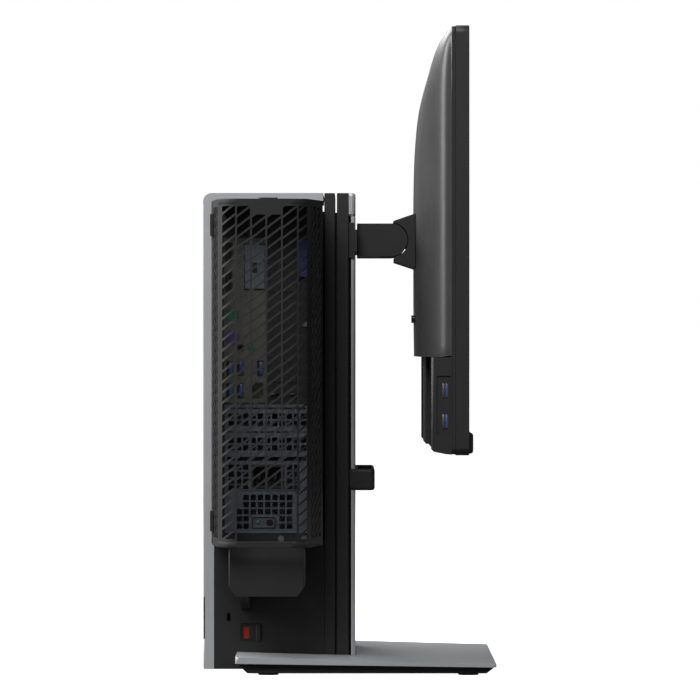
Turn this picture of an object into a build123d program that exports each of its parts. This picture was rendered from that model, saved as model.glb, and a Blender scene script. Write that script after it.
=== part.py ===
from build123d import *
import math
import os

# A small desktop computer in its stand.  A slim computer case stands on edge in a tower,
# its connector face turned to -X under a mesh cable cover, and the tower's front column
# carries a flat display on a lift, a tilt hinge and a turning hub.
# Frame: +Z up, the display faces -Y, the connector side faces -X, origin on the desk
# below the middle of the whole assembly.

# ---- driving dimensions, millimetres --------------------------------------------------
TOP = 413.8                     # top of the tower
FLOOR = 1.2                     # underside of the tower above the desk
TW = 66.0                       # half width of the tower
REAR, SHELL_IN = 126.15, 116.65  # back of the rear shell, front edge of its side flanges
COLUMN_FRONT, COLUMN_BACK = -0.2, 10.15     # black column housing, front to back
PLATE_FRONT, PLATE_BACK = -6.05, -2.2       # silver front plate
MID_FRONT, MID_BACK = 11.75, 21.05          # middle frame of the tower
HOUSING_FRONT, HOUSING_TOP = MID_BACK, 112.0    # lower housing behind the middle frame

BASE_W = 134.3                  # half width of the base
BASE_FRONT, BASE_REAR = -126.15, 96.65
FOOT_R, FOOT_H = 8.7, 1.6

CASE_X, CASE_Y0, CASE_Y1 = 146.4, 23.75, 116.35     # computer case, half length and sides
CASE_Z0, CASE_Z1 = 113.5, 403.5

COVER_X = -206.0                # outer face of the cable cover
COVER_Y0, COVER_Y1 = 21.85, 115.75
COVER_Z0, COVER_Z1 = 112.1, 404.3
CELL, RISE = 13.0, 8.8          # rib pitch and slat pitch of the cover's mesh

TILT_Y, TILT_Z = -36.95, 373.5  # tilt axis, along X
ARM_R, ARM_W = 14.25, 52.0      # rounded arm end and half width of the arm

DISP_W = 266.0                  # half width of the display
DISP_Z0, DISP_Z1 = 190.8, 545.3
GLASS_W, GLASS_H = 518.4, 324.0     # lit area of the panel
BEZEL_FRONT, BEZEL_BACK, TRIM_BACK = -99.55, -88.45, -85.15
BACK_SPLIT = 272.0              # where the bulged back meets the lower section

GAP = 0.3                       # clearance between pieces that move


# ---- helpers --------------------------------------------------------------------------
def block(x0, x1, y0, y1, z0, z1):
    """Box between limits along X, Y and Z."""
    return Pos((x0 + x1) / 2, (y0 + y1) / 2, (z0 + z1) / 2) * Box(
        abs(x1 - x0), abs(y1 - y0), abs(z1 - z0))


def rod(axis, centre, radius, length):
    """Cylinder of a length centred on a point, along X, Y or Z."""
    turn = {"X": Rot(0, 90, 0), "Y": Rot(90, 0, 0), "Z": Rot(0, 0, 0)}[axis]
    return Pos(*centre) * turn * Cylinder(radius, length)


def side_profile(points, x0, x1):
    """Prism of a (Y, Z) outline between two X positions."""
    face = Plane.YZ * Polygon(*points, align=None)
    return Pos(x0, 0, 0) * extrude(face, x1 - x0, dir=(1, 0, 0))


def plan_profile(points, z0, z1):
    """Prism of an (X, Y) outline between two heights."""
    return Pos(0, 0, z0) * extrude(Polygon(*points, align=None), z1 - z0, dir=(0, 0, 1))


def edges_along(shape, axis, keep):
    """Edges of a shape parallel to an axis whose centre passes a test."""
    return [e for e in shape.edges().filter_by(axis) if keep(e.center())]


def rounded(shape, axis, radius, keep=lambda c: True):
    return fillet(edges_along(shape, axis, keep), radius)


def tube(outer, inner):
    return outer - inner


parts = {}                      # node name -> shape


# ---- base -----------------------------------------------------------------------------
notch = block(-TW, TW, -6.5, BASE_REAR + 5, -1, 30)

plate = side_profile([(BASE_FRONT, 7.2), (BASE_FRONT, 9.9), (BASE_REAR, 16.0), (BASE_REAR, 10.3)],
                     -BASE_W, BASE_W)
plate = rounded(plate, Axis.Z, 2.7)
parts["base_plate"] = plate - notch

under = side_profile([(-118, FOOT_H), (86.5, FOOT_H), (95.4, 10.2), (-125.0, 7.18)], -126.3, 126.3)
ballast = block(-118, 118, -100, 78, 3.2, 6.2) - [
    block(s * 50, s * 68, -8, 79, 3, 7) for s in (-1, 1)]      # slots for the tower's side walls
parts["base_underbody"] = under - notch - ballast
parts["ballast_plate"] = ballast
parts["base_feet"] = Compound([rod("Z", (x, y, FOOT_H / 2), FOOT_R, FOOT_H)
                               for x in (-117, 117) for y in (-102.5, 68.5)])

# ---- tower: rear shell with the strap over the computer ---------------------------------
WALL = 2.8


def shell_band(z0, z1):
    """Length of the rear shell's C section: back plate with two side flanges."""
    band = block(-TW, TW, SHELL_IN, REAR, z0, z1) - block(
        -TW + WALL, TW - WALL, SHELL_IN - 1, REAR - WALL, z0 - 1, z1 + 1)
    return rounded(band, Axis.Z, 2.0, lambda c: c.Y > REAR - 0.1)


DOOR_Z0, DOOR_Z1, DOOR_DEPTH = 27.0, 64.0, 1.6     # door lies in a recess across the back
STRAP_FRONT, STRAP_LIP = 21.95, 407.0
arch = side_profile([(SHELL_IN, TOP - 9), (SHELL_IN, STRAP_LIP), (STRAP_FRONT, STRAP_LIP),
                     (STRAP_FRONT, TOP), (REAR, TOP), (REAR, TOP - 9)], -TW, TW)
arch = rounded(arch, Axis.X, 7.5, lambda c: c.Y > REAR - 0.1 and c.Z > TOP - 0.1)
hollow = block(-TW + WALL, TW - WALL, STRAP_FRONT - 1, REAR - WALL, STRAP_LIP - 12, TOP - WALL)
shell = shell_band(FLOOR, TOP - 9) + (arch - hollow)
shell = shell - block(-TW - 1, TW + 1, REAR - DOOR_DEPTH, REAR + 1, DOOR_Z0, DOOR_Z1)
parts["rear_shell"] = shell - block(-50, 50, SHELL_IN, REAR + 1, DOOR_Z0 + 4, DOOR_Z1 - 4)
door = block(-TW + 0.2, TW - 0.2, REAR - DOOR_DEPTH + GAP, REAR - 0.1, DOOR_Z0 + GAP, DOOR_Z1 - GAP)
door += block(-49, 49, REAR - 6, REAR - 1, DOOR_Z0 + 4.5, DOOR_Z0 + 6.5)       # lip that hooks in the opening
parts["rear_cable_door"] = door

# ---- tower: middle frame, backbone and column --------------------------------------------
mid = block(-TW, TW, MID_FRONT, MID_BACK, FLOOR, TOP)
mid = mid - block(-TW + 3, TW - 3, MID_FRONT - 1, MID_BACK - 2.5, 12, TOP - 17)
mid += block(-40, 40, MID_BACK - 1, 34, TOP - WALL - 2, TOP - WALL)     # lug under the strap
parts["mid_frame"] = mid - ballast
parts["backbone"] = block(-55, 55, COLUMN_BACK, MID_FRONT, 6.5, 397)

SLOT_X, SLOT_W, SLOT_Z0, SLOT_Z1 = 45.5, 4.0, 222.0, 392.0
RAIL_X, RAIL_Y, RAIL_R = 30.0, 5.3, 1.5
column = block(-TW, TW, COLUMN_FRONT, COLUMN_BACK, FLOOR, TOP)
column = column - block(-TW + 3, TW - 3, 2.2, 8.4, 12, TOP - 3)
column = column + block(-43, 43, PLATE_BACK, COLUMN_FRONT, FLOOR, TOP - 19.8)
column = column - [block(s * SLOT_X - SLOT_W / 2, s * SLOT_X + SLOT_W / 2, -3, 3, SLOT_Z0, SLOT_Z1)
                   for s in (-1, 1)]
parts["column_housing"] = column - ballast
parts["lift_rails"] = Compound([rod("Z", (s * RAIL_X, RAIL_Y, 211), RAIL_R, 398) for s in (-1, 1)])

CAP_Z = 394.0                   # joint between the front plate and its cap
front = block(-TW, TW, PLATE_FRONT, PLATE_BACK, FLOOR, CAP_Z)
front = rounded(front, Axis.Z, 3.0, lambda c: c.Y < PLATE_FRONT + 0.1)
front = chamfer(edges_along(front, Axis.X, lambda c: c.Y < PLATE_FRONT + 0.1 and c.Z > CAP_Z - 1), 1.5)
parts["front_plate"] = front - ballast
cap = block(-TW, TW, PLATE_FRONT, COLUMN_FRONT, CAP_Z, TOP)
cap = rounded(cap, Axis.Z, 3.0, lambda c: c.Y < PLATE_FRONT + 0.1)
cap = chamfer(edges_along(cap, Axis.X, lambda c: c.Y < PLATE_FRONT + 0.1 and c.Z < CAP_Z + 1), 1.5)
cap = fillet(edges_along(cap, Axis.X, lambda c: c.Y < PLATE_FRONT + 0.1 and c.Z > TOP - 1), 2.5)
parts["front_cap"] = cap

# ---- tower: lower housing, lock and cable chute -------------------------------------------
H0, H1 = HOUSING_FRONT, SHELL_IN
CHUTE_X, CHUTE_Y0, CHUTE_Y1, CHUTE_Z0, CHUTE_Z1 = -178.0, 37.0, 101.0, 70.0, 111.5
GRIP = (76.05, 80.25, 25.8, 40.0)           # lock slider: Y and Z limits at rest
LOCK_TRAVEL = 6.0
window = block(-TW - 1, -TW + 2, 75.05, 93.45, 25.0, 40.8)
window = rounded(window, Axis.X, 2.0)
security_slot = rounded(block(-TW - 1, -TW + 6, 102.45, 105.45, 42.8, 49.5), Axis.X, 1.2)

housing = block(-TW, TW, H0, H1, FLOOR, HOUSING_TOP)
housing = housing - block(-TW + 2.6, TW - 2.6, H0 + 2.6, H1 - 2.6, FLOOR + 6, HOUSING_TOP + 1)
housing = housing - window - security_slot
housing = housing - block(-TW - 1, -TW + 4, CHUTE_Y0 + 2.4, CHUTE_Y1 - 2.4, CHUTE_Z0 + 2.2, CHUTE_Z1 - 2)
housing = housing - block(-50, 50, H1 - 4, H1 + 1, DOOR_Z0 + 2, DOOR_Z1 - 2)
parts["lower_housing"] = housing - ballast

tray = block(-TW + 2.6, TW - 2.6, H0 + 2.6, H1 - 2.6, HOUSING_TOP - 2.5, HOUSING_TOP)
BOLT = (-20.0, 70.0, 4.0)                   # lock bolt: X, Y and radius
tray = tray - rod("Z", (BOLT[0], BOLT[1], HOUSING_TOP), BOLT[2] + 0.05, 12)
parts["bay_tray"] = tray
pads = [block(s * 40 - 8, s * 40 + 8, 34, 108, HOUSING_TOP, CASE_Z0 - GAP) for s in (-1, 1)]
pads += [block(s * 50 - 6, s * 50 + 6, MID_BACK, CASE_Y0 - GAP, HOUSING_TOP, 398) for s in (-1, 1)]
parts["bay_pads"] = Compound(pads)

parts["lock_indicator"] = block(-TW + 1.4, -TW + 2.0, 86.25, 90.85, 27.6, 37.3)
grip = block(-TW - 1.0, -TW + 1.1, *GRIP)
parts["lock_slider"] = rounded(grip, Axis.Z, 0.8)
bolt = rod("Z", (BOLT[0], BOLT[1], 104), BOLT[2], 15)
parts["lock_bolt"] = bolt + rod("Z", (BOLT[0], BOLT[1], 96), BOLT[2] + 2, 4)

chute = Plane.YZ * Polygon((CHUTE_Y0, CHUTE_Z1), (CHUTE_Y0, CHUTE_Z0 + 8.5), (CHUTE_Y0 + 6, CHUTE_Z0),
                           (CHUTE_Y1 - 6, CHUTE_Z0), (CHUTE_Y1, CHUTE_Z0 + 8.5), (CHUTE_Y1, CHUTE_Z1),
                           align=None)
chute = Pos(CHUTE_X, 0, 0) * extrude(chute, -TW - CHUTE_X, dir=(1, 0, 0))
chute = chute - block(CHUTE_X + 2.4, -TW + 1, CHUTE_Y0 + 2.4, CHUTE_Y1 - 2.4, CHUTE_Z0 + 2.4, CHUTE_Z1 - 2)
chute = chute - block(CHUTE_X + 2.4, -148, CHUTE_Y0 + 2.4, CHUTE_Y1 - 2.4, CHUTE_Z1 - 3, CHUTE_Z1 + 1)
chute = rounded(chute, Axis.Z, 1.2, lambda c: c.X < CHUTE_X + 0.1)
rib = Plane.XZ * Polygon((-TW, 52.7), (-TW, CHUTE_Z0), (-128, CHUTE_Z0), (-122, 67.4), align=None)
parts["cable_chute"] = chute + Pos(0, 85, 0) * extrude(rib, 8, dir=(0, 1, 0))

# cable clip: a band round the foot of the column, with a loop in front of the plate
band = block(-67.5, 67.5, -22.75, -1.0, 156.0, 174.9)
band = rounded(band, Axis.Z, 4.0, lambda c: c.Y < -20)
band = fillet(band.edges().filter_by(lambda e: e.center().Y < -18.7), 2.6)
loop_hollow = rounded(block(-65.0, 65.0, -20.4, PLATE_FRONT - 1.8, 150, 180), Axis.Z, 2.2,
                      lambda c: c.Y < -18)
band = band - loop_hollow - block(-TW, TW, PLATE_FRONT, 2, 150, 180)
parts["cable_clip"] = band


# ---- carriage of the lift -------------------------------------------------------------------
CHEEK_IN, CHEEK_OUT = TW + 0.2, TW + 2.0
SADDLE_FRONT = PLATE_FRONT - 1.3
saddle = block(-CHEEK_OUT, CHEEK_OUT, SADDLE_FRONT, PLATE_FRONT - GAP, 362.5, 382.0)
for s in (-1, 1):
    x_in, x_out = sorted((s * CHEEK_IN, s * CHEEK_OUT))
    a0, a1 = sorted((s * 44.3, s * CHEEK_OUT))
    b0, b1 = sorted((s * 44.3, s * 46.7))
    saddle += block(x_in, x_out, SADDLE_FRONT, -0.5, 362.5, 382.0)
    saddle += block(x_in, x_out, -4.95, -0.5, 357.2, 388.1)
    saddle += block(a0, a1, -1.9, -0.5, 357.2, 388.1)
    saddle += block(b0, b1, -1.9, 4.0, 359.0, 386.0)
slider = block(-47, 47, 2.9, 7.7, 359.0, 386.0)
slider = slider - [rod("Z", (s * RAIL_X, RAIL_Y, 372), RAIL_R + 0.05, 60) for s in (-1, 1)]
parts["carriage_saddle"] = saddle + slider

# ---- arm, tilt pin and tilt bracket -----------------------------------------------------------
ARM_Z0, ARM_Z1 = 359.3, 387.8
arm = block(-ARM_W, ARM_W, TILT_Y, SADDLE_FRONT, ARM_Z0, ARM_Z1)
arm += rod("X", (0, TILT_Y, (ARM_Z0 + ARM_Z1) / 2), ARM_R - 0.02, 2 * ARM_W)
PIN_R = 4.0
tongue_x = (-40, -14, 14, 40)               # centres of the bracket's tongues along the pin
for x in tongue_x:
    arm = arm - block(x - 6, x + 6, TILT_Y - 20, TILT_Y + 10, ARM_Z0 - 1, ARM_Z1 + 1)
arm = arm - rod("X", (0, TILT_Y, TILT_Z), PIN_R, 2 * ARM_W - 12)
parts["arm_housing"] = arm
parts["tilt_pin"] = rod("X", (0, TILT_Y, TILT_Z), PIN_R, 2 * ARM_W - 12)

BRACKET_BACK = -57.85
bracket = side_profile([(-39.15, 390.1), (BRACKET_BACK, 396.5), (BRACKET_BACK, 349.3), (-40.05, 355.1)],
                       -ARM_W, ARM_W)
bracket = bracket - rod("X", (0, TILT_Y, TILT_Z), 15.1, 2 * ARM_W + 2)
for x in tongue_x:
    knuckle = rod("X", (x, TILT_Y, TILT_Z), 8.5, 11.4) + block(
        x - 5.7, x + 5.7, TILT_Y - 18, TILT_Y, TILT_Z - 6, TILT_Z + 6)
    bracket += knuckle
bracket = bracket - rod("X", (0, TILT_Y, TILT_Z), PIN_R + 0.05, 2 * ARM_W + 2)
parts["tilt_bracket"] = bracket
HUB_R, HUB_END, MOUNT_BACK = 17.0, -66.0, -67.0
hub = rod("Y", (0, (BRACKET_BACK + HUB_END) / 2, TILT_Z), HUB_R, BRACKET_BACK - HUB_END)
parts["pivot_hub"] = hub + rod("Y", (0, HUB_END - 0.35, TILT_Z), HUB_R + 5, 0.7)

# ---- display ------------------------------------------------------------------------------------
# Sections of the bulged back: (Y, half width, height above the split, corner radius)
BACK_LEVELS = [(TRIM_BACK, 265.4, 272.8, 9), (-80.2, 264.2, 269.0, 12), (-75.2, 262.0, 261.0, 18),
               (-70.2, 250.0, 248.0, 36), (-63.9, 216.0, 221.0, 60), (-60.1, 172.0, 184.0, 80),
               (-58.3, 125.0, 142.0, 90)]


def bulge(shrink, forward):
    """Smooth bulged solid of the display's back, made smaller by a wall thickness."""
    sections = []
    for y, half, height, radius in BACK_LEVELS:
        frame = Plane(origin=(0, y - forward, BACK_SPLIT), x_dir=(1, 0, 0), z_dir=(0, 1, 0))
        sections.append(frame * RectangleRounded(2 * (half - shrink), 2 * (height - shrink), radius))
    return loft(sections, ruled=True)


hub_hole = rod("Y", (0, -62, TILT_Z), HUB_R + GAP, 30)
back = bulge(0, 0) - bulge(3.0, 2.4)
back = back & block(-300, 300, -90, -50, BACK_SPLIT, 560)
back += block(-266, 266, TRIM_BACK, -50, BACK_SPLIT, BACK_SPLIT + 2.5) & bulge(0, 0)
release_hole = rounded(block(-13, 13, -70, -50, 301.2, 308.4), Axis.Y, 3.0)
parts["display_back_cover"] = back - hub_hole - release_hole

# Lower section: a shallow body with deeper ends and a deeper block in the middle.
IO_BACK, EAR_BACK, BLOCK_BACK = -71.5, -68.1, -66.9
EAR_X, BLOCK_X, SIDE_X = 255.0, 75.0, 265.4
FLOOR_Y = [(TRIM_BACK, 191.5), (-80.0, 191.9)]
low_body = side_profile(FLOOR_Y + [(IO_BACK, 193.6), (IO_BACK, BACK_SPLIT - GAP), (TRIM_BACK, BACK_SPLIT - GAP)],
                        -SIDE_X, SIDE_X)
ear = FLOOR_Y + [(EAR_BACK - 2, 194.0), (EAR_BACK, 196.0), (EAR_BACK, BACK_SPLIT - GAP),
                 (TRIM_BACK, BACK_SPLIT - GAP)]
for s in (-1, 1):
    low_body += side_profile(ear, *sorted((s * EAR_X, s * SIDE_X)))
low_body = rounded(low_body, Axis.Z, 2.0, lambda c: c.Y > EAR_BACK - 0.5 and abs(c.X) > 260)
low_body += block(-BLOCK_X, BLOCK_X, IO_BACK - 1, BLOCK_BACK, 196.5, BACK_SPLIT - GAP)
low_body = low_body - block(-252, 252, TRIM_BACK - 1, IO_BACK - 2.4, 196, BACK_SPLIT - 3)
BAY = (-84.4, -72.5, 207.1, 256.5)          # shallow bay of the two sockets: Y and Z limits
BAY_FLOOR = -SIDE_X + 1.6
low_body = low_body - rounded(block(-270, BAY_FLOOR, *BAY), Axis.X, 1.5)
USB_Z = (219.0, 244.5)                      # centres of the two ports
USB_Y, USB_WIDE, USB_TALL = -79.5, 5.7, 13.1
for z in USB_Z:
    low_body = low_body - block(-266, -240, USB_Y - USB_WIDE / 2, USB_Y + USB_WIDE / 2,
                                z - USB_TALL / 2, z + USB_TALL / 2)
parts["display_io_cover"] = low_body

ports = []
for z in USB_Z:
    port = block(BAY_FLOOR - 0.4, -246, USB_Y - USB_WIDE / 2, USB_Y + USB_WIDE / 2,
                 z - USB_TALL / 2, z + USB_TALL / 2)
    port = port - block(-267, -247, USB_Y - USB_WIDE / 2 + 0.4, USB_Y + USB_WIDE / 2 - 0.4,
                        z - USB_TALL / 2 + 0.4, z + USB_TALL / 2 - 0.4)
    ports.append(port + block(BAY_FLOOR + 0.4, -246, USB_Y - 2.0, USB_Y - 0.4, z - 5.4, z + 5.4))
parts["display_usb_ports"] = Compound(ports)

trim = block(-265.2, 265.2, BEZEL_BACK, TRIM_BACK, 191.6, 544.6)
trim = trim - block(-260, 260, BEZEL_BACK - 1, TRIM_BACK + 1, 196, 540)
parts["display_mid_trim"] = rounded(trim, Axis.Y, 5.0, lambda c: abs(c.X) > 262)

WIN_Z1 = DISP_Z1 - 8.5
WIN_Z0 = WIN_Z1 - GLASS_H
bezel = rounded(block(-DISP_W, DISP_W, BEZEL_FRONT, BEZEL_BACK, DISP_Z0, DISP_Z1), Axis.Y, 6.0)
bezel = chamfer(bezel.faces().sort_by(Axis.Y)[0].edges(), 0.6)
bezel = bezel - block(-GLASS_W / 2, GLASS_W / 2, BEZEL_FRONT - 1, BEZEL_BACK + 1, WIN_Z0, WIN_Z1)
bezel = bezel - block(-262.6, 262.6, BEZEL_FRONT + 2.2, BEZEL_BACK + 1, WIN_Z0 - 6, WIN_Z1 + 5)
parts["display_bezel"] = bezel
parts["lcd_panel"] = block(-262.2, 262.2, BEZEL_FRONT + 2.2, BEZEL_BACK, WIN_Z0 - 5.6, WIN_Z1 + 4.6)
chin = block(-255, 255, BEZEL_FRONT - 3.5, BEZEL_FRONT, 192.1, 209.4)
chin = fillet(edges_along(chin, Axis.X, lambda c: c.Y < BEZEL_FRONT - 3), 2.6)

KEY_X = (206.0, 220.0, 238.0)               # two menu keys, then the power key
KEY_Z, KEY_R = 200.8, 3.2
for x in KEY_X:
    chin = chin - rod("Y", (x, BEZEL_FRONT - 2, KEY_Z), KEY_R + GAP, 2.6 * 2)
parts["display_chin_strip"] = chin
for name, x in zip(("menu_key_left", "menu_key_right", "display_power_key"), KEY_X):
    parts[name] = rod("Y", (x, BEZEL_FRONT - 2.35, KEY_Z), KEY_R, 2.9)

POST = MOUNT_BACK - 2 - BEZEL_BACK          # length of the posts down to the panel
mount = block(-60, 60, MOUNT_BACK - 2, MOUNT_BACK, TILT_Z - 60, TILT_Z + 60)
mount += [rod("Y", (x, BEZEL_BACK + POST / 2, TILT_Z + z), 4.0, POST) for x in (-50, 50) for z in (-50, 50)]
parts["mount_plate"] = mount - rod("Y", (0, MOUNT_BACK, TILT_Z), 6.0, 10)
button = rounded(block(-12.7, 12.7, -63.4, -55.4, 301.5, 308.1), Axis.Y, 2.7)
parts["release_button"] = button

# ---- computer case --------------------------------------------------------------------------------
FACE = -CASE_X                              # connector face
case = tube(block(FACE + 1, 134, CASE_Y0, CASE_Y1, CASE_Z0, CASE_Z1),
            block(FACE, 135, CASE_Y0 + 1, CASE_Y1 - 1, CASE_Z0 + 1, CASE_Z1 - 1))
parts["case_shell"] = case - rod("Z", (BOLT[0], BOLT[1], CASE_Z0), BOLT[2] + 0.6, 6)

SHIELD = (70.45, 105.95, 233.0, 372.8)      # Y and Z limits of each field on the face
SUPPLY = (34.05, 105.15, 122.2, 231.4)
CARDS = (44.0, 67.0, 250.0, 399.0)
panel = block(FACE, FACE + 1, CASE_Y0, CASE_Y1, CASE_Z0, CASE_Z1)
panel = panel - block(FACE - 1, FACE + 2, SHIELD[0] + 0.5, SHIELD[1] - 0.5, SHIELD[2] + 2, SHIELD[3] - 2)
panel = panel - block(FACE - 1, FACE + 2, *SUPPLY)
for z0 in (CARDS[2], CARDS[3] - 72):        # two expansion slot covers, side by side with a gap
    panel += block(FACE - 0.8, FACE, CARDS[0], CARDS[0] + 11, z0, z0 + 72)
    panel += block(FACE - 0.8, FACE, CARDS[0] + 12, CARDS[1], z0, z0 + 72)
LATCH_Y, LATCH_X = 42.4, FACE - 2.4         # hinge line of the card latch, along Z
for z in (338.2, 371.4):
    panel += block(FACE - 4.2, FACE, LATCH_Y - 1.4, LATCH_Y + 1.4, z, z + 1.4)
panel = panel - rod("Z", (LATCH_X, LATCH_Y, 355.5), 0.85, 34.6)
for y in (62.65, 46.15):
    eye = rod("Z", (FACE - 2.4, y, 240.2), 3.15, 1.8) + block(FACE - 2.4, FACE, y - 3.15, y + 3.15, 239.3, 241.1)
    panel += eye - rod("Z", (FACE - 2.4, y, 240.2), 1.75, 4)
parts["case_rear_panel"] = panel

latch = block(FACE - 3.8, FACE - 0.6, 31.35, LATCH_Y, 340.0, 371.0)
latch += rod("Z", (LATCH_X, LATCH_Y, 355.5), 0.8, 33.8)
parts["card_latch"] = latch - block(FACE - 2.2, FACE, 31, 38.5, 342, 369)

# connectors: centre Y, centre Z, size along Y, size along Z
USB_PORTS = [(y, z, 5.7, 13.1) for z in (262.3, 243.35) for y in (100.85, 91.95)] + [(74.95, 262.3, 5.7, 13.1)]
VIDEO_PORTS = [(101.75, 360.9, 6.6, 17.0), (101.75, 336.2, 6.6, 17.0)]
NETWORK = (77.3, 243.35, 9.6, 13.6)
HATCH = (79.45, 348.25, 17.4, 37.1)
HATCH_PORT = (79.55, 347.65, 3.7, 8.4)
ROUND_PORTS = [(99.0, 308.0, 6.2), (99.0, 288.0, 6.2), (82.7, 279.5, 3.2), (91.4, 279.5, 3.2)]


def around(port, x0, x1, grow=0.0):
    """Box about a connector given by its centre and size on the face."""
    y, z, dy, dz = port
    return block(x0, x1, y - dy / 2 - grow, y + dy / 2 + grow, z - dz / 2 - grow, z + dz / 2 + grow)


boxed = USB_PORTS + VIDEO_PORTS + [NETWORK]
shield = block(FACE - 0.6, FACE, *SHIELD)
shield = shield - [around(port, FACE - 2, FACE + 2) for port in boxed + [HATCH_PORT]]
shield = shield - [rod("X", (FACE, y, z), r, 4) for y, z, r in ROUND_PORTS]
shield += around(HATCH, FACE - 1.4, FACE - 0.6) - around(HATCH_PORT, FACE - 3, FACE + 3)
parts["io_shield"] = shield
parts["port_shells"] = Compound([around(port, FACE - 1.2, FACE + 15) - around(port, FACE - 2, FACE + 14, -0.4)
                                 for port in boxed + [HATCH_PORT]])
inserts = [block(FACE - 0.6, FACE + 14, y - 0.2, y + 1.6, z - 5.4, z + 5.4) for y, z, dy, dz in USB_PORTS]
inserts += [block(FACE - 0.4, FACE + 14, y - 0.8, y + 0.8, z - 6, z + 6) for y, z, dy, dz in VIDEO_PORTS]
inserts += [rod("X", (FACE + 6.8, y, z), r, 14.8) - rod("X", (FACE, y, z), r * 0.62, 9)
            for y, z, r in ROUND_PORTS]
parts["port_inserts"] = Compound(inserts)

supply = tube(block(FACE - 0.8, -20, *SUPPLY),
              block(FACE, -22, SUPPLY[0] + 1, SUPPLY[1] - 1, SUPPLY[2] + 1, SUPPLY[3] - 1))
supply += block(-131.0, -129.6, SUPPLY[0] + 0.5, SUPPLY[1] - 0.5, 204, 214)    # bar that holds the fan
PITCH, SQUARE = 6.15, 4.7
vents = [(38.0 + PITCH * i, z) for i in range(11) for z in (221.5, 215.2, 201.0, 194.7)]
vents += [(50.1 + PITCH * i, 128.3 + 6.05 * j) for i in range(7) for j in range(5)]
vents += [(92.5, 128.3 + 6.05 * j) for j in range(3)]
vents += [(y, 160.5 + 5.9 * j) for y in (43.9, 50.0, 87.3, 93.4, 99.5) for j in range(4)]
vents = [(y, z) for y, z in vents if not (z < 137 and 58 < y < 84)]
supply = supply - [block(FACE - 2, FACE + 1, y - SQUARE / 2, y + SQUARE / 2, z - SQUARE / 2, z + SQUARE / 2)
                   for y, z in vents]
INLET = (68.7, 170.2, 28.1, 20.5)
supply = supply - around(INLET, FACE - 2, FACE + 2) - [
    block(FACE - 2, FACE + 0.5, 36, 103, z, z + h) for z, h in ((183.6, 3.4), (207.4, 1.2), (227.6, 1.2))]
parts["supply_case"] = supply - rod("X", (FACE, 66.85, 131.1), 2.6 + GAP, 4)
inlet = around(INLET, FACE - 2.2, FACE + 16) - around(INLET, FACE - 3, FACE + 13, -2.2)
for y, z in ((-7, 0), (7, 0), (0, 4)):
    inlet += block(FACE - 1, FACE + 14, INLET[0] + y - 1, INLET[0] + y + 1, INLET[1] + z - 2.4, INLET[1] + z + 2.4)
parts["power_inlet"] = inlet
parts["supply_test_button"] = rod("X", (FACE + 0.2, 66.85, 131.1), 2.6, 3.4)

BOARD_Y = 109.0
board = block(-131, 70, BOARD_Y, BOARD_Y + 1.6, 236, 398)
POST = CASE_Y1 - 1 - BOARD_Y - 1.6          # standoffs between the board and the case wall
parts["main_board"] = board + [rod("Y", (x, BOARD_Y + 1.6 + POST / 2, z), 3.0, POST)
                               for x in (-110, 55) for z in (250, 385)]
fins = [block(-36 + 6 * i, -34.5 + 6 * i, 62, 104, 296, 366) for i in range(13)]
parts["cooler_fins"] = Part() + [block(-38, 38, 104, 109, 294, 368)] + fins
parts["storage_drive"] = block(20, 120, 40, 110, CASE_Z0 + 1, 140)

front_face = block(134, CASE_X, CASE_Y0, CASE_Y1, CASE_Z0, CASE_Z1)
front_face = front_face - block(133, CASE_X - 2.5, CASE_Y0 + 2, CASE_Y1 - 2, CASE_Z0 + 2, CASE_Z1 - 2)
front_face = front_face - [block(CASE_X - 3, CASE_X + 1, 34, 106, 130 + 6 * i, 132.5 + 6 * i) for i in range(14)]
front_face = front_face - [block(CASE_X - 3, CASE_X + 1, 95, 101, 300 + 19 * i, 313.2 + 19 * i) for i in range(3)]
front_face = front_face - block(CASE_X - 3, CASE_X + 1, 40, 46, 240, 372)
BUTTON = (98.0, 380.0, 7.0)
front_face = front_face - rod("X", (CASE_X, BUTTON[0], BUTTON[1]), BUTTON[2] + GAP, 8)
parts["case_front_panel"] = front_face
parts["case_power_button"] = rod("X", (CASE_X - 2.2, BUTTON[0], BUTTON[1]), BUTTON[2], 4)


def rotor(hub_r, tip_r, depth, blades):
    """Fan rotor about Z, blades pitched and touching the hub."""
    shape = Cylinder(hub_r, depth)
    for i in range(blades):
        blade = Pos((hub_r + tip_r) / 2 - 0.5, 0, 0) * Rot(35, 0, 0) * Box(tip_r - hub_r + 1, depth * 0.9, 1.0)
        shape += Rot(0, 0, 360 / blades * i) * blade
    return shape


parts["cooler_fan"] = Pos(0, 54, 331) * Rot(90, 0, 0) * rotor(13, 32, 10, 7)
parts["cooler_fan_frame"] = Pos(0, 54, 331) * Rot(90, 0, 0) * (
    Box(74, 74, 12) - Cylinder(34, 20) + Pos(0, 0, -6.6) * Cylinder(10, 1.2) + Pos(0, 0, -6.6) * Box(74, 5, 1.2))
parts["supply_fan"] = Pos(-136, 69.6, 209) * Rot(0, 90, 0) * rotor(8, 18, 8, 7)

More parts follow.
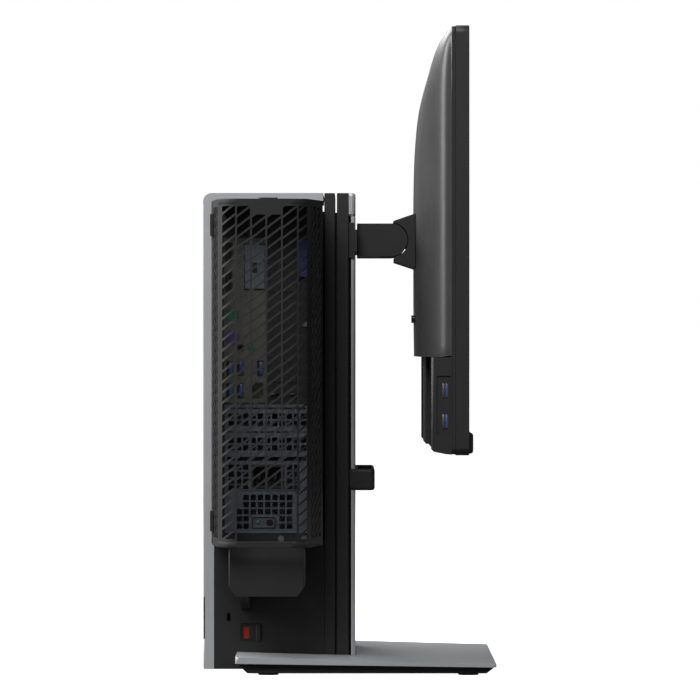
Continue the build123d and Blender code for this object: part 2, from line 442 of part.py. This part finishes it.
# ---- cable cover ----------------------------------------------------------------------------------
COVER_END = FACE - GAP                      # edge that meets the connector face
RIM_TOP, RIM_BOTTOM, SKIN = 4.6, 5.5, 2.0
SHOULDER_Y = (35.0, 107.5)                  # where front and side walls would meet
outline = Polygon((COVER_END, COVER_Y0), (COVER_X, SHOULDER_Y[0]), (COVER_X, SHOULDER_Y[1]),
                  (COVER_END, COVER_Y1), align=None)
outline = fillet(outline.vertices().sort_by(Axis.X)[:2], 16.0)
inner = Polygon((COVER_END + 1, COVER_Y0 + SKIN), (COVER_X + SKIN, SHOULDER_Y[0] + SKIN * 0.9),
                (COVER_X + SKIN, SHOULDER_Y[1] - SKIN * 0.9), (COVER_END + 1, COVER_Y1 - SKIN), align=None)
inner = fillet(inner.vertices().sort_by(Axis.X)[:2], 14.0)
MESH_Z0, MESH_Z1 = COVER_Z0 + RIM_BOTTOM, COVER_Z1 - RIM_TOP


def cover_ring(z0, z1):
    return Pos(0, 0, z0) * extrude(outline - inner, z1 - z0, dir=(0, 0, 1))


def clipped(points, low, high):
    """Part of an outline between two heights, height being the second value."""
    for sign, limit in ((1, low), (-1, -high)):
        kept = []
        for (a, za), (b, zb) in zip(points, points[1:] + points[:1]):
            if sign * za >= limit:
                kept.append((a, za))
            if (sign * za - limit) * (sign * zb - limit) < 0:
                f = (sign * limit - za) / (zb - za)
                kept.append((a + f * (b - a), sign * limit))
        points = kept
    return points


def cells(left, right, low, high, rise):
    """Outlines of one column of slanted cells; rise is the slats' climb from left to right."""
    found = []
    for i in range(-1, int((high - low) / RISE) + 3):
        z = low + i * RISE
        shape = clipped([(left, z), (right, z + rise), (right, z + rise + RISE - 2.2), (left, z + RISE - 2.2)],
                        low, high)
        if len(shape) > 2 and max(p[1] for p in shape) - min(p[1] for p in shape) > 1.5:
            found.append(shape)
    return found


RIBS = [42.35, 55.65, 68.75, 81.55, 94.05]
WINDOW = (43.25, 93.25, MESH_Z0, 159.0)
ring = cover_ring(MESH_Z0, MESH_Z1)
FRONT_END = COVER_X + 15.0                  # where the front grille meets the side grilles
front_grille = ring & block(COVER_X - 1, FRONT_END, 0, 140, MESH_Z0, MESH_Z1)
columns = [(34.0, RIBS[0])] + list(zip(RIBS, RIBS[1:])) + [(RIBS[-1], 106.6)]
cutters = []
for left, right in columns:
    inside = RIBS[0] <= left and right <= RIBS[-1]
    low = WINDOW[3] + 2.4 if inside else MESH_Z0 + 2
    high = 391.0 if left in RIBS[1:3] else MESH_Z1 - 1.5
    share = (right - left) / CELL
    for shape in cells(left + 0.8, right - 0.8, low, high, -RISE * share):
        cut = Plane.YZ * Polygon(*shape, align=None)
        cutters.append(Pos(COVER_X - 2, 0, 0) * extrude(cut, 16.4, dir=(1, 0, 0)))
cutters.append(rounded(block(COVER_X - 2, COVER_X + 8, *WINDOW), Axis.X, 3.0, lambda c: c.Z > 150))
parts["cover_front_grille"] = front_grille - cutters

SIDE_EDGES = [FRONT_END + 1.0, -180.0, -166.5, -153.0]
for name, y0, y1, rise in (("cover_left_grille", 0, 60, RISE), ("cover_right_grille", 80, 140, -RISE)):
    wall = ring & block(FRONT_END, COVER_END, y0, y1, MESH_Z0, MESH_Z1)
    cutters = []
    for left, right in zip(SIDE_EDGES, SIDE_EDGES[1:]):
        for shape in cells(left + 0.8, right - 0.8, MESH_Z0 + 2, MESH_Z1 - 1.5, rise):
            cut = Plane.XZ * Polygon(*shape, align=None)
            cutters.append(Pos(0, y0, 0) * extrude(cut, y1 - y0, dir=(0, 1, 0)))
    parts[name] = wall - cutters

TAB_Y, TAB_X = (59.75, 75.75), (-184.0, -168.0)
top = Pos(0, 0, MESH_Z1) * extrude(outline, RIM_TOP, dir=(0, 0, 1))
top = top - Pos(0, 0, MESH_Z1) * extrude(inner, RIM_TOP - 1.8, dir=(0, 0, 1))
parts["cover_top"] = top - block(TAB_X[0] - GAP, TAB_X[1] + GAP, TAB_Y[0] - GAP, TAB_Y[1] + GAP, 396, 410)
hooks = [block(COVER_END - 9, COVER_END, COVER_Y1 - 1.0, COVER_Y1 + 1.6, z0, z1)
         for z0, z1 in ((374.4, 393.0), (124.2, 141.5))]
side = parts["cover_right_grille"]
parts["cover_right_grille"] = side + hooks
parts["cover_bottom_rim"] = cover_ring(COVER_Z0, MESH_Z0)
parts["cover_latch"] = rounded(block(TAB_X[0], TAB_X[1], *TAB_Y, 400.6, 406.0), Axis.Z, 2.0)

# ---- write one file per piece -----------------------------------------------------------------------
os.makedirs("parts", exist_ok=True)
for name, shape in parts.items():
    export_step(shape, f"parts/{name}.step")
print(len(parts), "pieces")
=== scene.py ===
import math

import bmesh
import bpy
from mathutils import Matrix, Vector


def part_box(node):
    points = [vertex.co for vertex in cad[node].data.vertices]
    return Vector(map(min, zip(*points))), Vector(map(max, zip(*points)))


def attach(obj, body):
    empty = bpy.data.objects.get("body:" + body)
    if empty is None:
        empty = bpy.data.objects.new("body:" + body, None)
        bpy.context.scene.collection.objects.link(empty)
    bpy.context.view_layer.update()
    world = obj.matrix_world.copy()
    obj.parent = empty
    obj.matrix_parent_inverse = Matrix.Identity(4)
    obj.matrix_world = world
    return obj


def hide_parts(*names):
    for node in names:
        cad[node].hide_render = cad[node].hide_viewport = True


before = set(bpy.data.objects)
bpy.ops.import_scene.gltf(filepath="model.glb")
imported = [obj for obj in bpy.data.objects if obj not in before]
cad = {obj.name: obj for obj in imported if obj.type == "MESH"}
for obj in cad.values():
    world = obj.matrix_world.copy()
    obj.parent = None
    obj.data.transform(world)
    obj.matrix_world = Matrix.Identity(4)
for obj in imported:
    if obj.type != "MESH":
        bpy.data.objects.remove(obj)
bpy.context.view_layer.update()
MM = 0.001


# ---- materials --------------------------------------------------------------------------

def linear(hex_colour):
    """sRGB hex to the linear colour that the shaders take."""
    parts = [int(hex_colour[i:i + 2], 16) / 255 for i in (1, 3, 5)]
    return tuple(c / 12.92 if c <= 0.04045 else ((c + 0.055) / 1.055) ** 2.4 for c in parts) + (1.0,)


def add(tree, kind, links=(), **settings):
    """Adds a node. A setting named like a socket fills it, any other is a property; links are
    (source node, output, input) triples."""
    made = tree.nodes.new("ShaderNode" + kind)
    for name, value in settings.items():
        plain = name.replace("_", " ")
        sockets = [s for s in made.inputs if s.name.lower() == plain.lower() or s.identifier == name]
        if sockets:
            sockets[0].default_value = value
        else:
            setattr(made, name, value)
    for source, output, target in links:
        tree.links.new(source.outputs[output], made.inputs[target])
    return made


def per_mm(size_mm):
    """Texture scale, in cycles per metre, that gives features of one size."""
    return 1.0 / (size_mm * MM)


def finish_of(name, colour, roughness, grain_mm, grain_height_mm, metallic=0.0, ior=1.5, wander=0.05,
              coat=0.0, shade=0.12, patch_mm=45.0):
    """Surface with a fine grain, a slow drift in roughness and a slight mottle of tone.

    grain_mm is the size of the surface's pips or flakes and grain_height_mm their height;
    patch_mm is the size of the patches that handling and moulding leave."""
    material = bpy.data.materials.new(name)
    material.use_nodes = True
    tree = material.node_tree
    shader = tree.nodes["Principled BSDF"]
    shader.inputs["Metallic"].default_value = metallic
    shader.inputs["IOR"].default_value = ior
    shader.inputs["Coat Weight"].default_value = coat
    place = add(tree, "TexCoord")
    patches = add(tree, "TexNoise", [(place, "Object", "Vector")], Scale=per_mm(patch_mm), Detail=3.0)
    grain = add(tree, "TexNoise", [(place, "Object", "Vector")], Scale=per_mm(grain_mm), Detail=2.0)
    rough = add(tree, "MapRange", [(patches, "Fac", "Value")])
    rough.inputs["To Min"].default_value = roughness - wander
    rough.inputs["To Max"].default_value = roughness + wander
    tree.links.new(rough.outputs["Result"], shader.inputs["Roughness"])
    tone = add(tree, "Mix", data_type="RGBA")
    base = linear(colour)
    tone.inputs[6].default_value = tuple(c * (1 - shade) for c in base[:3]) + (1.0,)
    tone.inputs[7].default_value = tuple(min(1.0, c * (1 + shade)) for c in base[:3]) + (1.0,)
    tree.links.new(patches.outputs["Fac"], tone.inputs[0])
    tree.links.new(tone.outputs[2], shader.inputs["Base Color"])
    bump = add(tree, "Bump", [(grain, "Fac", "Height")], Distance=grain_height_mm * MM, Strength=0.6)
    tree.links.new(bump.outputs["Normal"], shader.inputs["Normal"])
    return material


# Aluminium-pigment powder coat, sprayed on steel: satin, with fine flakes that break up highlights.
silver_powder_coat = finish_of("silver_powder_coat", "#B4B6B9", 0.40, 0.9, 0.02, metallic=0.35, wander=0.04,
                               shade=0.05)
# ABS moulded against a spark-eroded tool: an even fine grain, low sheen.
black_moulded_abs = finish_of("black_moulded_abs", "#1B1B1C", 0.52, 0.8, 0.03, ior=1.45)
# The same black ABS on the display's back, its colour painted a shade lighter all over: painted sheen that stands
# in for light raking over its grain.
painted_sheen_back_abs = finish_of("painted_sheen_back_abs", "#2D2D2E", 0.40, 0.7, 0.03, ior=1.5)
# Polycarbonate blend of the bezel: smoother tool, closer to satin.
satin_bezel_plastic = finish_of("satin_bezel_plastic", "#171718", 0.48, 0.6, 0.012, ior=1.5)
# Glass-filled nylon of the cable cover: stiff thin ribs with a dry matt skin.
matt_filled_nylon = finish_of("matt_filled_nylon", "#111112", 0.66, 0.9, 0.03, ior=1.5)
# Smooth black coat over the case's folded steel.
black_coated_steel = finish_of("black_coated_steel", "#161617", 0.45, 1.0, 0.03, metallic=0.0)
# Electro-galvanised sheet: grey metal with a faint spangle.
galvanised_sheet = finish_of("galvanised_sheet", "#6F747C", 0.42, 2.5, 0.01, metallic=0.9, wander=0.08, shade=0.15,
                             patch_mm=6.0)
# Warm tinplate of the connector shield.
tinplate_shield = finish_of("tinplate_shield", "#6A6964", 0.42, 2.0, 0.01, metallic=0.85, wander=0.06)
# Nickel-plated connector shells: small bright folded boxes.
nickel_shell = finish_of("nickel_shell", "#74736C", 0.28, 1.5, 0.005, metallic=1.0, wander=0.04)
# Ground steel of pins, rails and bolts.
bright_steel = finish_of("bright_steel", "#A8A9AA", 0.28, 0.6, 0.006, metallic=1.0, wander=0.06)
# Extruded and sawn aluminium of the cooler and the drive's case.
sawn_aluminium = finish_of("sawn_aluminium", "#C3C4C6", 0.34, 0.5, 0.01, metallic=1.0)
# Moulded nitrile of feet and guide pads: dull and slightly dusty.
dull_rubber = finish_of("dull_rubber", "#101010", 0.8, 1.2, 0.05, ior=1.5)
# Etched anti-glare glass over the dark, switched-off panel.
etched_panel_glass = finish_of("etched_panel_glass", "#08080A", 0.22, 0.5, 0.003, ior=1.52, coat=0.3, wander=0.02)
# Polished acrylic keys.
polished_key = finish_of("polished_key", "#121213", 0.16, 1.0, 0.002, ior=1.49, coat=0.5, wander=0.02)
# Dyed moulded plastics of the small coloured pieces.
red_marker_plastic = finish_of("red_marker_plastic", "#97160F", 0.35, 0.6, 0.01, ior=1.5)
blue_lever_plastic = finish_of("blue_lever_plastic", "#262F5C", 0.4, 0.6, 0.01, ior=1.5)
blue_socket_plastic = finish_of("blue_socket_plastic", "#34487E", 0.4, 0.6, 0.01, ior=1.5)
dark_socket_plastic = finish_of("dark_socket_plastic", "#0C0C0D", 0.45, 0.6, 0.01, ior=1.5)
green_socket_plastic = finish_of("green_socket_plastic", "#1F5C3C", 0.4, 0.6, 0.01, ior=1.5)
violet_socket_plastic = finish_of("violet_socket_plastic", "#45356A", 0.4, 0.6, 0.01, ior=1.5)
# Solder mask over copper.
green_solder_mask = finish_of("green_solder_mask", "#0F3D24", 0.35, 1.5, 0.02, ior=1.5)
# Matt white paint of the studio floor.
studio_paper = finish_of("studio_paper", "#F4F4F4", 0.9, 30.0, 0.01, shade=0.01, patch_mm=900.0)

FINISHES = {
    silver_powder_coat: ["base_plate", "rear_shell", "front_plate", "front_cap"],
    black_moulded_abs: ["base_underbody", "mid_frame", "column_housing", "lower_housing", "bay_tray",
                        "arm_housing", "tilt_bracket", "cable_chute", "cable_clip", "rear_cable_door",
                        "lock_slider", "display_mid_trim", "power_inlet", "cooler_fan", "cooler_fan_frame",
                        "supply_fan", "cover_latch"],
    painted_sheen_back_abs: ["display_back_cover"],
    satin_bezel_plastic: ["display_bezel", "display_chin_strip", "case_front_panel", "display_io_cover"],
    matt_filled_nylon: ["cover_front_grille", "cover_left_grille", "cover_right_grille", "cover_top",
                        "cover_bottom_rim"],
    black_coated_steel: ["case_shell", "case_rear_panel", "carriage_saddle", "backbone"],
    galvanised_sheet: ["supply_case"],
    tinplate_shield: ["io_shield"],
    nickel_shell: ["port_shells", "display_usb_ports"],
    bright_steel: ["ballast_plate", "lift_rails", "lock_bolt", "tilt_pin", "pivot_hub", "mount_plate"],
    sawn_aluminium: ["cooler_fins", "storage_drive"],
    dull_rubber: ["base_feet", "bay_pads"],
    etched_panel_glass: ["lcd_panel"],
    polished_key: ["release_button", "menu_key_left", "menu_key_right", "display_power_key", "case_power_button",
                   "supply_test_button"],
    red_marker_plastic: ["lock_indicator"],
    blue_lever_plastic: ["card_latch"],
    dark_socket_plastic: ["port_inserts"],
    green_solder_mask: ["main_board"],
}
for finish, names in FINISHES.items():
    for name in names:
        for held in cad[name].material_slots:
            held.material = finish
        cad[name].active_material = finish


def soften(name, width_mm, angle=35.0, segments=2):
    """Breaks a CAD node's sharp edges with a small radius, so that they catch light."""
    piece = cad[name]
    weld = piece.modifiers.new("joined_skin", "WELD")
    weld.merge_threshold = 0.00001
    edge = piece.modifiers.new("broken_edges", "BEVEL")
    edge.width = width_mm * MM
    edge.segments = segments
    edge.limit_method = "ANGLE"
    edge.angle_limit = math.radians(angle)
    edge.harden_normals = True


for name, width in {"base_plate": 0.5, "base_underbody": 0.6, "rear_shell": 0.5, "rear_cable_door": 0.5,
                    "mid_frame": 0.7, "column_housing": 0.5, "front_plate": 0.4, "front_cap": 0.4,
                    "lower_housing": 0.6, "cable_chute": 0.7, "cable_clip": 0.6, "arm_housing": 0.6,
                    "tilt_bracket": 0.6, "display_io_cover": 0.5, "display_mid_trim": 0.4, "display_bezel": 0.4,
                    "case_shell": 0.4, "case_rear_panel": 0.15, "case_front_panel": 0.5, "cover_top": 0.6,
                    "cover_bottom_rim": 0.5, "cover_latch": 0.4, "power_inlet": 0.4, "carriage_saddle": 0.3,
                    "card_latch": 0.3, "storage_drive": 0.5, "base_feet": 0.3}.items():
    soften(name, width)


# ---- mesh helpers -------------------------------------------------------------------------

def new_piece(name, mesh, finish, body, smooth_angle=40.0):
    """Makes an object of a bmesh, gives it a finish and lets it ride a body."""
    bmesh.ops.recalc_face_normals(mesh, faces=mesh.faces)
    data = bpy.data.meshes.new(name)
    mesh.to_mesh(data)
    mesh.free()
    for face in data.polygons:
        face.use_smooth = True
    data.set_sharp_from_angle(angle=math.radians(smooth_angle))
    data.materials.append(finish)
    piece = bpy.data.objects.new(name, data)
    bpy.context.scene.collection.objects.link(piece)
    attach(piece, body)
    return piece


def add_box(mesh, low, high, radius=0.0):
    """Box between two corners in millimetres, its edges rounded by a radius."""
    low, high = Vector(low) * MM, Vector(high) * MM
    made = bmesh.ops.create_cube(mesh, size=1.0)["verts"]
    for vert in made:
        vert.co = Vector((low[i] + (vert.co[i] + 0.5) * (high[i] - low[i]) for i in range(3)))
    if radius:
        edges = list({e for v in made for e in v.link_edges})
        bmesh.ops.bevel(mesh, geom=edges, offset=radius * MM, segments=2, affect="EDGES", profile=0.5)


def add_turned(mesh, centre, axis, outline, steps=32):
    """Turned solid: outline is (distance along the axis, radius) pairs in millimetres."""
    axis = Vector(axis).normalized()
    side = axis.orthogonal().normalized()
    other = axis.cross(side)
    rings = []
    for along, radius in outline:
        ring = []
        for i in range(steps):
            a = 2 * math.pi * i / steps
            spot = Vector(centre) + axis * along + (side * math.cos(a) + other * math.sin(a)) * max(radius, 0.01)
            ring.append(mesh.verts.new(spot * MM))
        rings.append(ring)
    for low, high in zip(rings, rings[1:]):
        for i in range(steps):
            mesh.faces.new((low[i], low[(i + 1) % steps], high[(i + 1) % steps], high[i]))
    mesh.faces.new(rings[0])
    mesh.faces.new(rings[-1])


# ---- the display's bulged back ---------------------------------------------------------------

def eased(x, points):
    """Smooth value of a curve through (x, y) points, by cubic steps with shared slopes."""
    slopes = []
    for i in range(len(points)):
        a, b = points[max(i - 1, 0)], points[min(i + 1, len(points) - 1)]
        slopes.append((b[1] - a[1]) / (b[0] - a[0]))
    for i in range(len(points) - 1):
        (x0, y0), (x1, y1) = points[i], points[i + 1]
        if x <= x1 or i == len(points) - 2:
            t = min(max((x - x0) / (x1 - x0), 0.0), 1.0)
            h = x1 - x0
            return ((2 * t**3 - 3 * t**2 + 1) * y0 + (t**3 - 2 * t**2 + t) * h * slopes[i]
                    + (3 * t**2 - 2 * t**3) * y1 + (t**3 - t**2) * h * slopes[i + 1])


def display_back():
    """One skin of the back cover: a low dome that falls away to the top and the sides."""
    low, high = (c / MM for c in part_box("display_back_cover"))
    half, floor, rise = high.x, low.z, high.z - low.z
    crest, drop = high.y, high.y - low.y
    up = [(0.0, 1.2), (0.15, 0.4), (0.3, 0.0), (0.45, 0.1), (0.55, 0.6), (0.675, 1.9), (0.81, 5.6), (0.91, 12.0),
          (0.957, 16.9), (0.984, 21.9), (1.0, drop)]
    out = [(0.0, 0.0), (0.4, 0.2), (0.55, 0.9), (0.72, 3.2), (0.86, 7.6), (0.93, 12.0), (0.97, 16.8),
           (0.99, 21.2), (1.0, drop)]
    corner = 9.0
    rings, spokes = 56, 360

    def surface(x, z):
        falls = max(0.0, eased((z - floor) / rise, up)), max(0.0, eased(abs(x) / half, out))
        fall = (falls[0] ** 3 + falls[1] ** 3) ** (1 / 3)
        return crest - min(drop, fall)

    def rim(angle):
        """Where a spoke from the middle of the cover meets its outline."""
        dx, dz = math.cos(angle), math.sin(angle)
        reach = min(half / abs(dx) if abs(dx) > 1e-6 else 1e9, (rise / 2) / abs(dz) if abs(dz) > 1e-6 else 1e9)
        x, z = dx * reach, dz * reach
        cx, cz = half - corner, rise / 2 - corner
        if z > cz and abs(x) > cx:          # rounded upper corners
            a = math.atan2(z - cz, abs(x) - cx)
            x = math.copysign(cx + corner * math.cos(a), x)
            z = cz + corner * math.sin(a)
        return x, floor + rise / 2 + z

    mesh = bmesh.new()
    centre_z = floor + rise / 2
    levels = []
    for r in range(1, rings + 1):
        share = math.sin(math.pi / 2 * r / rings) ** 0.9
        ring = []
        for s in range(spokes):
            ex, ez = rim(2 * math.pi * s / spokes)
            x, z = ex * share, centre_z + (ez - centre_z) * share
            ring.append(mesh.verts.new(Vector((x, surface(x, z), z)) * MM))
        levels.append(ring)
    front = []
    for s in range(spokes):                  # wall down to the middle trim
        ex, ez = rim(2 * math.pi * s / spokes)
        front.append(mesh.verts.new(Vector((ex, crest - drop, ez)) * MM))
    levels.append(front)
    hub = mesh.verts.new(Vector((0, surface(0, centre_z), centre_z)) * MM)
    for s in range(spokes):
        t = (s + 1) % spokes
        mesh.faces.new((hub, levels[0][s], levels[0][t]))
        for inner, outer in zip(levels, levels[1:]):
            mesh.faces.new((inner[s], outer[s], outer[t], inner[t]))
    mesh.faces.new(front)
    bmesh.ops.remove_doubles(mesh, verts=mesh.verts, dist=1e-6)
    return mesh


# The skin takes the black ABS with painted sheen, a shade lighter than the same ABS elsewhere.
back = new_piece("display_back_skin", display_back(), painted_sheen_back_abs, "display", 50)
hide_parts("display_back_cover")

# Dark well round the release button.
button_low, button_high = (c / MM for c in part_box("release_button"))
back_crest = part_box("display_back_cover")[1].y / MM
well = bmesh.new()
rim = Vector((1.6, 0, 1.6))                                 # how far the well reaches past the button
well_back = back_crest + 0.3
add_box(well, Vector((button_low.x, well_back - 2, button_low.z)) - rim,
        Vector((button_high.x, well_back, button_high.z)) + rim, 0.9)
new_piece("release_button_well", well, black_moulded_abs, "display")


# ---- sockets ------------------------------------------------------------------------------------
usb_low, usb_high = (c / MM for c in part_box("display_usb_ports"))
half_shell = 6.55                                           # half the height of a fast socket's shell
usb_y = (usb_low.y + usb_high.y) / 2
tongues, shields = bmesh.new(), bmesh.new()
for z in (usb_low.z + half_shell, usb_high.z - half_shell):
    add_box(tongues, (usb_low.x + 0.1, usb_y - 2.42, z - 5.7), (usb_low.x + 10, usb_y - 0.2, z + 5.7), 0.3)
    add_box(shields, (usb_low.x + 0.5, usb_y + 0.3, z - 5.8), (usb_low.x + 10, usb_y + 2.3, z + 5.8), 0.2)
new_piece("display_usb_tongues", tongues, blue_socket_plastic, "display")
new_piece("display_usb_shields", shields, tinplate_shield, "display")

face_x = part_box("case_rear_panel")[1].x / MM - 1.0         # plane of the connector face
for name, y, z, radius, finish in (("keyboard_socket_violet", 99.0, 288.0, 6.1, violet_socket_plastic),
                                   ("mouse_socket_green", 99.0, 308.0, 6.1, green_socket_plastic),
                                   ("line_out_socket_green", 82.7, 279.5, 3.1, green_socket_plastic)):
    ring = bmesh.new()
    add_turned(ring, (face_x - 0.9, y, z), (1, 0, 0), [(0, radius * 0.62), (0, radius), (0.7, radius),
                                                       (0.7, radius * 0.62), (9.0, radius * 0.6)])
    new_piece(name, ring, finish, "computer")

# Blue tongues of the case's fast sockets.
case_tongues = bmesh.new()
for y, z in [(y, z) for z in (262.3, 243.35) for y in (100.85, 91.95)] + [(74.95, 262.3)]:
    add_box(case_tongues, (face_x - 1.0, y - 2.4, z - 5.6), (face_x + 8, y + 0.4, z + 5.6), 0.3)
new_piece("case_usb_tongues", case_tongues, blue_socket_plastic, "computer")

# Spare-port hatch on the shield: a dark joint line round a flat plate with one small socket.
hatch = bmesh.new()
add_box(hatch, (face_x - 1.55, 70.2, 328.6), (face_x - 0.7, 88.8, 368.0), 0.2)
new_piece("port_hatch_joint", hatch, dark_socket_plastic, "computer")
hatch = bmesh.new()
for low, high in (((71.2, 329.8), (77.5, 366.8)), ((81.6, 329.8), (87.8, 366.8)), ((77.5, 329.8), (81.6, 343.2)),
                  ((77.5, 352.0), (81.6, 366.8))):
    add_box(hatch, (face_x - 2.0, low[0], low[1]), (face_x - 1.2, high[0], high[1]))
new_piece("port_hatch_plate", hatch, galvanised_sheet, "computer")

# Frame round the supply's lamp and test button.
frame_strip = bmesh.new()
for low, high in (((62.0, 126.2), (82.0, 127.0)), ((62.0, 135.2), (82.0, 136.0)), ((62.0, 127.0), (62.8, 135.2)),
                  ((81.2, 127.0), (82.0, 135.2))):
    add_box(frame_strip, (face_x - 1.7, low[0], low[1]), (face_x - 0.7, high[0], high[1]))
new_piece("supply_lamp_frame", frame_strip, dark_socket_plastic, "computer")

lamp = bmesh.new()
add_turned(lamp, (face_x - 1.5, 76.65, 131.1), (1, 0, 0), [(0, 1.0), (0.4, 1.7), (1.6, 1.8)], 20)
new_piece("supply_lamp", lamp, green_socket_plastic, "computer")

screws = bmesh.new()
for y, z in ((57.05, 117.5), (37.0, 117.5), (106.5, 180.0), (106.5, 390.0), (37.0, 300.0), (106.5, 240.0)):
    add_turned(screws, (face_x - 1.4, y, z), (1, 0, 0), [(0, 1.1), (0, 2.6), (0.5, 3.0), (1.5, 3.1)], 24)
new_piece("case_screws", screws, bright_steel, "computer")


# ---- studio, light and camera ----------------------------------------------------------------------
floor_mesh = bmesh.new()
bmesh.ops.create_grid(floor_mesh, x_segments=2, y_segments=2, size=60.0)
floor_data = bpy.data.meshes.new("studio_floor")
floor_mesh.to_mesh(floor_data)
floor_mesh.free()
glow = studio_paper.node_tree.nodes["Principled BSDF"]
glow.inputs["Emission Color"].default_value = (1, 1, 1, 1)
glow.inputs["Emission Strength"].default_value = 1.0        # back-lit paper, so it stays pale to the horizon
floor_data.materials.append(studio_paper)
floor = bpy.data.objects.new("studio_floor", floor_data)
bpy.context.scene.collection.objects.link(floor)
floor.visible_diffuse = floor.visible_glossy = False        # keeps its glow off the object


def soft_light(name, spot, aim, width, height, watts, tint=(1, 1, 1)):
    data = bpy.data.lights.new(name, "AREA")
    data.shape = "RECTANGLE"
    data.size, data.size_y, data.energy, data.color = width, height, watts, tint
    lamp_object = bpy.data.objects.new(name, data)
    lamp_object.location = spot
    lamp_object.rotation_euler = (Vector(aim) - Vector(spot)).to_track_quat("-Z", "Y").to_euler()
    bpy.context.scene.collection.objects.link(lamp_object)


soft_light("rear_softbox", (-0.3, 2.8, 1.2), (0, 0.05, 0.3), 1.6, 1.1, 92)
soft_light("overhead_softbox", (0.3, 1.1, 2.6), (0, 0.0, 0.3), 2.2, 2.2, 42)
soft_light("crown_softbox", (2.6, 1.7, 1.9), (0, -0.05, 0.4), 2.2, 1.3, 62)
soft_light("near_fill", (-2.6, 0.7, 2.1), (0, 0, 0.25), 1.4, 1.4, 66)
soft_light("near_front_fill", (-1.9, -2.0, 1.3), (0, 0, 0.25), 1.4, 1.4, 7)
soft_light("front_softbox", (0.9, -2.8, 1.5), (0, 0, 0.3), 1.8, 1.4, 18)

sky = bpy.data.worlds.new("studio_air")
bpy.context.scene.world = sky
sky.use_nodes = True
air = sky.node_tree
air.nodes.clear()
seen = add(air, "Background", Color=(1, 1, 1, 1), Strength=1.0)
lit = add(air, "Background", Color=(1, 1, 1, 1), Strength=0.11)
path = add(air, "LightPath")
both = add(air, "MixShader", [(path, "Is Camera Ray", 0), (lit, "Background", 1), (seen, "Background", 2)])
add(air, "OutputWorld", [(both, "Shader", "Surface")])

camera_data = bpy.data.cameras.new("side_view")
camera_data.lens, camera_data.sensor_width = 233.4, 36.0
camera_data.clip_start, camera_data.clip_end = 0.1, 200.0
camera = bpy.data.objects.new("side_view", camera_data)
camera.location = (-4.0, -0.00125, 0.2777)
camera.rotation_euler = (math.pi / 2, 0, -math.pi / 2)
bpy.context.scene.collection.objects.link(camera)
bpy.context.scene.camera = camera
bpy.context.scene.view_settings.view_transform = "Standard"
bpy.context.scene.view_settings.look = "None"
